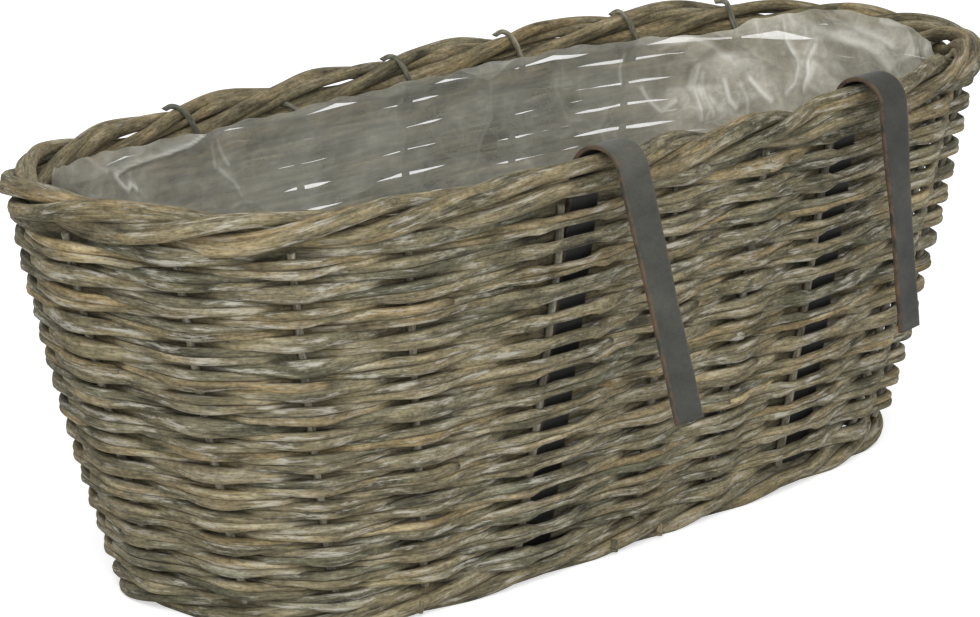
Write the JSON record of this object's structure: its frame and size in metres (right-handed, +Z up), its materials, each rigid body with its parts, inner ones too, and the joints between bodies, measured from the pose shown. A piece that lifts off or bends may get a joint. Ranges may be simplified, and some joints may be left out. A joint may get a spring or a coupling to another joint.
{
  "type": "balcony planter",
  "caption": "Long rounded wicker planter of woven willow with a twisted border, a loose clear film liner and flat steel hooks that hang it over a railing.",
  "frame": {"origin": "on the ground, under the middle of the planter's outline seen from above, hooks included", "axes": "+X along the length, -Y towards the side with the railing hooks, +Z up"},
  "size_m": [0.6092, 0.2836, 0.207],
  "materials": {
    "willow": "weathered willow bark, matt",
    "border_willow": "weathered willow bark, matt",
    "stake_willow": "pale weathered willow, matt",
    "base_willow": "weathered willow, matt",
    "dark_steel": "dark steel with rusty edges, satin",
    "clear_film": "thin clear film, creased, glossy"
  },
  "bodies": {
    "root": {"stake_01": "stake_willow", "stake_02": "stake_willow", "stake_03": "stake_willow", "stake_04": "stake_willow", "stake_05": "stake_willow", "stake_06": "stake_willow", "stake_07": "stake_willow", "stake_08": "stake_willow", "stake_09": "stake_willow", "stake_10": "stake_willow", "stake_11": "stake_willow", "stake_12": "stake_willow", "stake_13": "stake_willow", "stake_14": "stake_willow", "stake_15": "stake_willow", "stake_16": "stake_willow", "stake_17": "stake_willow", "stake_18": "stake_willow", "stake_19": "stake_willow", "stake_20": "stake_willow", "stake_21": "stake_willow", "weaver_01": "willow", "weaver_02": "willow", "weaver_03": "willow", "weaver_04": "willow", "weaver_05": "willow", "weaver_06": "willow", "weaver_07": "willow", "weaver_08": "willow", "weaver_09": "willow", "weaver_10": "willow", "weaver_11": "willow", "weaver_12": "willow", "weaver_13": "willow", "weaver_14": "willow", "weaver_15": "willow", "border_strand_1": "border_willow", "border_strand_2": "border_willow", "border_strand_3": "border_willow", "foot_strand_1": "border_willow", "foot_strand_2": "border_willow", "foot_strand_3": "border_willow", "hook_1": "dark_steel", "hook_2": "dark_steel", "base_stick_1": "stake_willow", "base_stick_2": "stake_willow", "base_stick_3": "stake_willow", "base_stick_4": "stake_willow", "base_stick_5": "stake_willow", "base_stick_6": "stake_willow", "base_stick_7": "stake_willow", "base_rod_1": "base_willow", "base_rod_2": "base_willow", "base_rod_3": "base_willow", "base_rod_4": "base_willow", "base_rod_5": "base_willow", "base_rod_6": "base_willow", "liner": "clear_film"}
  },
  "joints": []
}
